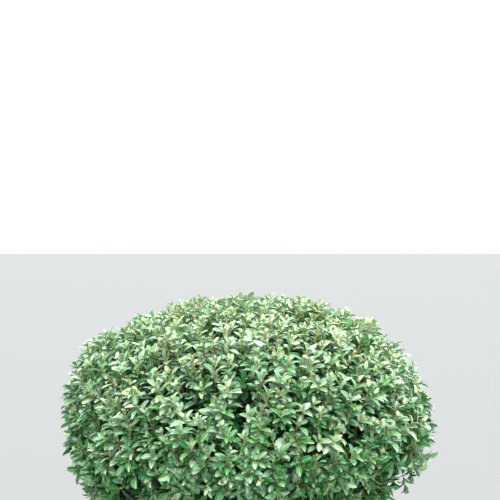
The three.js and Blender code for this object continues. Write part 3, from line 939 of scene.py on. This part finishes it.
def grow_wood(thicker, rng, directions, share, share_spread, rings):
    """Wood that ends at a share of the way out, each piece from the nearest end of the thicker wood."""
    directions = unit(directions + rng.normal(0, 0.04, directions.shape))
    ends = outward(directions, share + rng.uniform(-share_spread, share_spread, len(directions)))
    chosen = thicker.nearest(ends, mass_of(ends))
    starts = thicker.ends[chosen]
    end_ways = unit(outline_normal(ends) + UP * WOOD_LIFT + rng.normal(0, WOOD_TILT, ends.shape))
    leaving = unit(unit(ends - starts) + thicker.ways[chosen] * 0.8 + rng.normal(0, 0.12, ends.shape))
    paths = twig_paths(starts, leaving, ends, end_ways, rings)
    return Wood(ends, unit(paths[:, -1] - paths[:, -2]), paths)


def forks_and_twigs():
    rng = draws("wood")
    hearts = Wood(np.array([mass.heart for mass in MASSES]), np.array([mass.along for mass in MASSES]))
    forks = grow_wood(hearts, rng, spread(FORK_COUNT), FORK_SHARE, FORK_SPREAD, len(FORK_RADII))
    thicker = Wood(np.concatenate([hearts.ends, forks.ends]), np.concatenate([hearts.ways, forks.ways]))
    directions = spread(TWIG_COUNT, shift=0.9)
    return forks, grow_wood(thicker, rng, directions, TWIG_SHARE, TWIG_SPREAD, len(TWIG_RADII))


class Shoots:
    """Leafy shoots: their tips, the way that they grow, and their leaves."""

    def __init__(self, tips, growth, lengths, rng):
        self.tips = tips
        self.growth = growth
        self.lengths = lengths
        self.count = len(tips)
        self.masses = mass_of(tips)
        level = np.where(np.abs(growth[:, :1]) > 0.9, [0.0, 1.0, 0.0], [1.0, 0.0, 0.0])
        self.first = unit(np.cross(level, growth))
        self.second = np.cross(growth, self.first)
        turn = rng.uniform(0, 2 * math.pi, (self.count, 1))
        sag = rng.uniform(*SHOOT_SAG, (self.count, 1)) * lengths[:, None]
        self.bend = (self.first * np.cos(turn) + self.second * np.sin(turn)) * sag
        self.phase = rng.uniform(0, 2 * math.pi, self.count)
        self.rng = rng

    def at(self, below):
        """The points (count, places, 3) at distances under each tip (count, places)."""
        share = (below / self.lengths[:, None])[..., None]
        return self.tips[:, None] - self.growth[:, None] * below[..., None] + self.bend[:, None] * share**2

    def aside(self, turn):
        """Directions square to each shoot, at angles (count, places) round it."""
        turn = turn[..., None]
        return self.first[:, None] * np.cos(turn) + self.second[:, None] * np.sin(turn)

    def leaves(self, below, leans, sizes, lift, vigour=1.0):
        """Roots, ways, upper sides and lengths of leaves: one row a shoot, one column a leaf."""
        rng = self.rng
        shape = below.shape
        place = np.arange(shape[1])
        roots = self.at(below)
        turn = self.phase[:, None] + GOLDEN_ANGLE * place + rng.normal(0, 0.22, shape)
        round_ways = self.aside(turn)
        leans = (np.radians(np.interp(place, *leans)) + rng.normal(0, 0.14, shape))[..., None]
        sizes = np.interp(place, *sizes) * vigour
        ways = self.growth[:, None] * np.cos(leans) + round_ways * np.sin(leans)
        uppers = self.growth[:, None] * np.sin(leans) - round_ways * np.cos(leans) + UP * lift
        uppers = unit(uppers - ways * dot(uppers, ways))
        roll = rng.normal(0, 0.28, shape)[..., None]
        uppers = uppers * np.cos(roll) + np.cross(ways, uppers) * np.sin(roll)
        return roots, ways, uppers, sizes * LEAF_LENGTH * (1 + rng.normal(0, 0.11, shape))


def outer_shoots():
    """The shoots whose leaves make the canopy's face."""
    rng = draws("outer")
    directions = unit(spread(OUTER_SHOOTS) + rng.normal(0, 0.032, (OUTER_SHOOTS, 3)))
    edge = outward(directions, 1.0)
    hollow = hollows(edge)
    sparse = open_side(edge)
    ends = outward(directions, face_shares(directions, edge, hollow, sparse, rng))
    # Where the shrub is open, most shoots stop short, and the few that reach out droop.
    droop = OPEN_DROOP * sparse[:, None] * rng.uniform(size=(OUTER_SHOOTS, 1))
    normals = outline_normal(ends)
    lift = OUTER_LIFT * uprightness(normals) * rng.uniform(*OUTER_LIFT_SPREAD, (OUTER_SHOOTS, 1)) - droop
    ways = unit(normals + UP * lift + rng.normal(0, OUTER_TILT, ends.shape))
    tips = ends - ways * OUTER_TIP_DEPTH
    lengths = rng.uniform(*OUTER_LENGTHS, OUTER_SHOOTS)
    kept = rng.uniform(size=OUTER_SHOOTS) > HOLLOW_THINNING * hollow
    return Shoots(tips[kept], ways[kept], lengths[kept], rng)


def face_shares(directions, edge, hollow, sparse, rng):
    """How far out each outer shoot reaches, as a share of the way to the outline."""
    relief = ripples(edge, FACE_RIPPLES) - SEAM_DEPTH * seam(edge) - HOLLOW_DEPTH * hollow
    relief = relief - sparse * np.where(rng.uniform(size=OUTER_SHOOTS) < OPEN_SHARE, OPEN_DEPTH, 0.0)
    is_proud = rng.uniform(size=OUTER_SHOOTS) < PROUD_SHARE
    proud = np.where(is_proud, rng.uniform(*PROUD_REACH, OUTER_SHOOTS), 0.0)
    level = directions[:, 2]
    girth = GIRTH * (1 - np.abs(level)) ** 0.5
    outermost = OUTERMOST
    for middle, axes, width, fuller, further in SWELLINGS:
        near = falloff(np.linalg.norm((directions - middle) * axes, axis=-1), width)
        girth = girth + fuller * near
        outermost = outermost + further * near
    outermost = outermost + OUTERMOST_ON_TOP * smooth_step(*TOP_LEVELS, level)
    jitter = rng.uniform(*FACE_JITTER, OUTER_SHOOTS)
    return np.minimum(1.0 + relief + proud + jitter + girth, outermost)


def uprightness(normals):
    """Low shoots grow outward rather than up, so that their feet stay inside the canopy."""
    return np.clip(1 + UPRIGHT_LOSS * normals[:, 2:], 0.08, 1)


def hollows(points):
    """1 in the middle of each shadowed hollow in the canopy's face, and 0 away from it."""
    rng = draws("hollows")
    seen = np.array([(x, -math.sqrt(1 - x * x - z * z), z) for x, z in FRONT_HOLLOWS])
    others = spread(HOLLOW_COUNT, HOLLOW_LOWEST) + rng.normal(0, HOLLOW_JITTER, (HOLLOW_COUNT, 3))
    others = unit(others[others[:, 1] > HOLLOW_FRONT])
    middles = outward(np.concatenate([unit(seen), others]), 1.0)
    gaps = np.linalg.norm(points[:, None] - middles[None], axis=-1)
    return falloff(gaps, rng.uniform(*HOLLOW_RADII, len(middles))).max(axis=1)


def open_side(points):
    """1 low on the right of the front, where the shrub is open, and 0 elsewhere."""
    x, y, z = (points - CENTRE).T
    return smooth_step(*OPEN_RIGHT, x) * smooth_step(*OPEN_BELOW, z) * smooth_step(*OPEN_FRONT, y)


def inner_shoots():
    """Sparser shoots in the shade behind the face."""
    rng = draws("inner")
    directions = unit(spread(INNER_SHOOTS, INNER_LOWEST, 0.4) + rng.normal(0, 0.06, (INNER_SHOOTS, 3)))
    ends = outward(directions, rng.uniform(*INNER_REACH, INNER_SHOOTS))
    normals = outline_normal(ends)
    ways = unit(normals * 0.8 + UP * 0.4 * uprightness(normals) + rng.normal(0, INNER_TILT, ends.shape))
    return Shoots(ends, ways, rng.uniform(*INNER_LENGTHS, INNER_SHOOTS), rng)


def deal_tints(shoots, weights, rng, seed, by_height):
    """One tint for each spray, in soft drifts over the canopy. Weights are (tint, share) pairs. By_height
    gives higher sprays paler tints and lower ones darker: partly fresher growth on top, and partly painted
    light above and painted shade below.
    """
    tints = np.array([tint for tint, _ in weights])
    bounds = np.cumsum([share for _, share in weights])
    lot = rng.uniform(size=shoots.count)
    drift = 0.5 + 0.32 * ripple(shoots.tips, 0.16, seed)
    height = (shoots.tips[:, 2] - CANOPY_MIDDLE) / ABOVE[0]
    mixed = np.argsort(np.argsort(lot * 0.55 + drift * 0.22 + height * by_height)) / shoots.count
    return tints[np.minimum(np.searchsorted(bounds, mixed * bounds[-1]), len(tints) - 1)]


def add_leaves(batches, shoots, leaves, tints, stations, bending, kept, ribbed=False):
    """Turns leaves given by rows into meshes, sorted into their masses' batches."""
    roots, ways, uppers = (rows.reshape(-1, 3) for rows in leaves[:3])
    lengths = leaves[3].ravel()
    rng = shoots.rng
    width_share = LEAF_WIDTH_SHARE * (1 + rng.normal(0, 0.08, lengths.size))
    curl, fold = (rng.uniform(*limits, lengths.size) for limits in bending)
    points = leaf_points(roots, ways, uppers, lengths, width_share, curl, fold, stations, ribbed)
    owners = np.repeat(shoots.masses, leaves[3].shape[1])
    tints = np.broadcast_to(tints, leaves[3].shape).reshape(-1, 1)
    faces, is_rib = leaf_faces(stations, ribbed)
    finishes = np.repeat(tints, len(faces), axis=1)
    if ribbed:
        finishes[:, is_rib] = MIDRIBS[tints]
    kept = np.broadcast_to(kept, leaves[3].shape).ravel()
    sort_into(batches, owners[kept], points[kept], faces, finishes[kept])


def grow_outer_leaves(batches, shoots, rng):
    place = np.arange(OUTER_LEAVES)
    shape = (shoots.count, OUTER_LEAVES)
    heights = shoots.tips[:, 2:]
    steps = np.interp(place, *OUTER_STEPS)
    below = FIRST_LEAF + shoots.lengths[:, None] * steps + rng.uniform(0, FIRST_LEAF, shape)
    vigour = np.interp(heights, *LEAF_VIGOUR) * rng.uniform(*LEAF_VIGOUR_SPREAD, (shoots.count, 1))
    tints = outer_tints(shoots, place, rng)
    loss = LOW_LOSS * smooth_step(CANOPY_MIDDLE + 0.06, CANOPY_MIDDLE - 0.06, heights) * (place > 4)
    kept = rng.uniform(size=shape) > np.interp(place, *OUTER_LOSSES) + loss
    leaves = shoots.leaves(below, OUTER_LEANS, OUTER_SIZES, 0.35, vigour)
    for chosen, stations in ((place < PLAIN_FROM, FULL_LEAF), (place >= PLAIN_FROM, PLAIN_LEAF)):
        part = [rows[:, chosen] for rows in leaves]
        add_leaves(batches, shoots, part, tints[:, chosen], stations, OUTER_BENDING, kept[:, chosen], True)


def outer_tints(shoots, place, rng):
    """Each leaf's tint: its spray's, paler at the tip and darker down the shoot, with painted shade at its
    foot that is lighter the higher the shoot stands.
    """
    shape = (shoots.count, OUTER_LEAVES)
    # Higher sprays take paler tints, partly as painted light on top and painted shade low down.
    spray = deal_tints(shoots, OUTER_WEIGHTS, rng, 71, 0.42)
    steps_off = np.rint(np.interp(place, *OUTER_PALENESS) + rng.normal(0, TINT_SPREAD, shape))
    tints = np.clip(spray[:, None] + steps_off.astype(int), DEEP, FRESH)
    is_young = rng.uniform(size=(shoots.count, 1)) > 1 - YOUNG_SHARE
    tints = np.where((place[None] < 2) & is_young, YOUNG, tints)
    # Painted shade: many leaves at the foot take a dark tint chosen by the shoot's height.
    shaded = np.digitize(shoots.tips[:, 2:], SHADE_LEVELS) + DARKEST_SHADE
    tints = np.where((place[None] >= SHADE_FROM) & (rng.uniform(size=shape) < SHADE_SHARE), shaded, tints)
    return np.where(rng.uniform(size=shape) < YELLOW_SHARE, YELLOW, tints)


def grow_tip_leaves(batches, shoots, rng):
    below = np.broadcast_to(TIP_FIRST + TIP_SPACING * np.arange(TIP_LEAVES), (shoots.count, TIP_LEAVES))
    spray = rng.choice(list(TIP_WEIGHTS), shoots.count, p=list(TIP_WEIGHTS.values()))
    leaves = shoots.leaves(below, TIP_LEANS, TIP_SIZES, 0.0)
    add_leaves(batches, shoots, leaves, spray[:, None], TINY_LEAF, TIP_BENDING, True)


def grow_inner_leaves(batches, shoots, rng):
    shape = (shoots.count, INNER_LEAVES)
    steps = shoots.lengths[:, None] / INNER_LEAVES * np.arange(INNER_LEAVES)
    below = steps + rng.uniform(0, INNER_STEP_SPREAD, shape)
    # Inner sprays take dark tints, painted shade of the canopy's depths, darkest low down.
    spray = deal_tints(shoots, INNER_WEIGHTS, rng, 72, 0.7)
    kept = rng.uniform(size=shape) > INNER_LOSS
    leaves = shoots.leaves(below, INNER_LEANS, INNER_SIZES, 0.4)
    add_leaves(batches, shoots, leaves, spray[:, None], PLAIN_LEAF, INNER_BENDING, kept)


def grow_tubes(batches, owners, paths, radii, sides, finishes):
    points = tube_points(paths, np.broadcast_to(radii, paths.shape[:2])[..., None], sides)
    faces = tube_faces(paths.shape[1], sides)
    sort_into(batches, owners, points, faces, np.broadcast_to(finishes, len(paths)))


def grow_stems(wood, stems, twigs, shoots, rng, radius, weights):
    """The bare foot of each shoot, from the nearest twig, and its leafy young stem."""
    leafy = shoots.at(shoots.lengths[:, None] * np.linspace(1, 0, STEM_RINGS))
    feet = leafy[:, 0]
    chosen = twigs.nearest(feet - shoots.growth * TWIG_DEPTH, shoots.masses)
    starts = twigs.ends[chosen]
    leaving = unit(unit(feet - starts) + twigs.ways[chosen] * 0.5)
    bare = twig_paths(starts, leaving, feet, unit(leafy[:, 1] - feet), 4, 0.28)
    bare_radii = np.linspace(STEM_FOOT_RADIUS, radius, 4)
    grow_tubes(wood, shoots.masses, bare, bare_radii, 3, rng.choice(len(TWIG_FINISHES), shoots.count))
    tint = rng.choice(SHADED_STEM, shoots.count, p=weights)
    radii = np.linspace(radius, STEM_TIP_RADIUS, STEM_RINGS)
    low, high = slice(STEM_SHADED_RINGS), slice(STEM_SHADED_RINGS - 1, None)
    # The lower rings of each young stem take the shaded stem tint, painted shade.
    grow_tubes(stems, shoots.masses, leafy[:, low], radii[low], 3, SHADED_STEM)
    grow_tubes(stems, shoots.masses, leafy[:, high], radii[high], 3, tint)


def grow_buds(buds, shoots):
    """A small pointed bud at each shoot's tip, and round ones that crowd the upper leaf axils."""
    rng = draws("buds")
    length = rng.uniform(*BUD_LENGTHS, shoots.count)
    steps, widths = BUD_PROFILE.T
    paths = shoots.tips[:, None] + shoots.growth[:, None] * (steps[None] * length[:, None])[..., None]
    tint = rng.choice(len(BUD_FINISHES), shoots.count)
    grow_tubes(buds, shoots.masses, paths, widths * BUD_RADIUS, 4, tint)

    shape = (shoots.count, AXIL_BUDS)
    below = AXIL_FIRST + AXIL_SPACING * np.arange(AXIL_BUDS) + rng.uniform(0, 0.002, shape)
    aside = shoots.aside(rng.uniform(0, 2 * math.pi, shape))
    middles = (shoots.at(below) + aside * AXIL_ASIDE).reshape(-1, 3)
    lumps, faces = crumb(rng, len(middles))
    points = middles[:, None] + lumps * rng.uniform(*AXIL_SIZES, (len(middles), 1, 1))
    sort_into(buds, np.repeat(shoots.masses, AXIL_BUDS), points, faces, np.repeat(tint, AXIL_BUDS))


def dress_canopy():
    forks, twigs = forks_and_twigs()
    outer = outer_shoots()
    inner = inner_shoots()
    leaves, wood, stems, buds = ([Batch() for _ in MASSES] for _ in range(4))
    rng = draws("leaves")
    grow_outer_leaves(leaves, outer, rng)
    grow_tip_leaves(leaves, outer, rng)
    grow_inner_leaves(leaves, inner, rng)
    grow_tubes(wood, forks.masses, forks.paths, FORK_RADII, 7, 0)
    grow_tubes(wood, twigs.masses, twigs.paths, TWIG_RADII, 5, 0)
    rng = draws("stems")
    grow_stems(wood, stems, twigs, outer, rng, *OUTER_STEMS)
    grow_stems(wood, stems, twigs, inner, rng, *INNER_STEMS)
    grow_buds(buds, outer)
    for kind, batches, finishes, slot in (
        ("leaves", leaves, LEAF_FINISHES, "foliage"),
        ("twigs", wood, TWIG_FINISHES, "bark"),
        ("young_stems", stems, STEM_FINISHES, "foliage"),
        ("buds", buds, BUD_FINISHES, "foliage"),
    ):
        for mass, batch in zip(MASSES, batches):
            shown(batch.build(f"{kind}_{mass.label}", finishes), f"foliage_{mass.label}")


# The studio.
def dress_stage():
    corners = np.array([[-1, -1, 0], [1, -1, 0], [1, 1, 0], [-1, 1, 0]]) * FLOOR_REACH
    batch = Batch()
    batch.add(corners[None] - UP * FLOOR_DROP, np.array([[0, 1, 2], [0, 2, 3]]), 0)
    batch.build("studio_floor", [floor_finish()], smooth=False)

    world = bpy.data.worlds.new("studio_air")
    world.use_nodes = True
    air = world.node_tree.nodes["Background"]
    air.inputs["Color"].default_value = colour(*AIR_COLOUR)
    air.inputs["Strength"].default_value = AIR_STRENGTH
    bpy.context.scene.world = world
    for light in LIGHTS:
        soft_light(*light)


def soft_light(name, place, softness, strength):
    """Even light from one side of the sky. Softness is how many degrees wide it looks."""
    lamp = bpy.data.lights.new(name, "SUN")
    lamp.angle = math.radians(softness)
    lamp.energy = strength
    lamp.color = LIGHT_COLOUR
    light = in_scene(name, lamp)
    light.location = place
    light.rotation_euler = (-Vector(place)).to_track_quat("-Z", "Y").to_euler()


def place_camera():
    """At the photograph's height and distance, with the photograph's frame."""
    camera = in_scene("photo_camera", bpy.data.cameras.new("photo_camera"))
    camera.data.sensor_width = CAMERA_SENSOR
    camera.data.lens = CAMERA_LENS
    camera.location = CAMERA_PLACE
    camera.rotation_euler = (math.radians(CAMERA_TILT), 0, 0)
    bpy.context.scene.camera = camera


place_camera()
dress_stage()
dress_pot()
dress_soil()
dress_trunk()
for mass in MASSES:
    dress_bough(mass)
dress_canopy()
bpy.context.scene.view_settings.view_transform = "Standard"
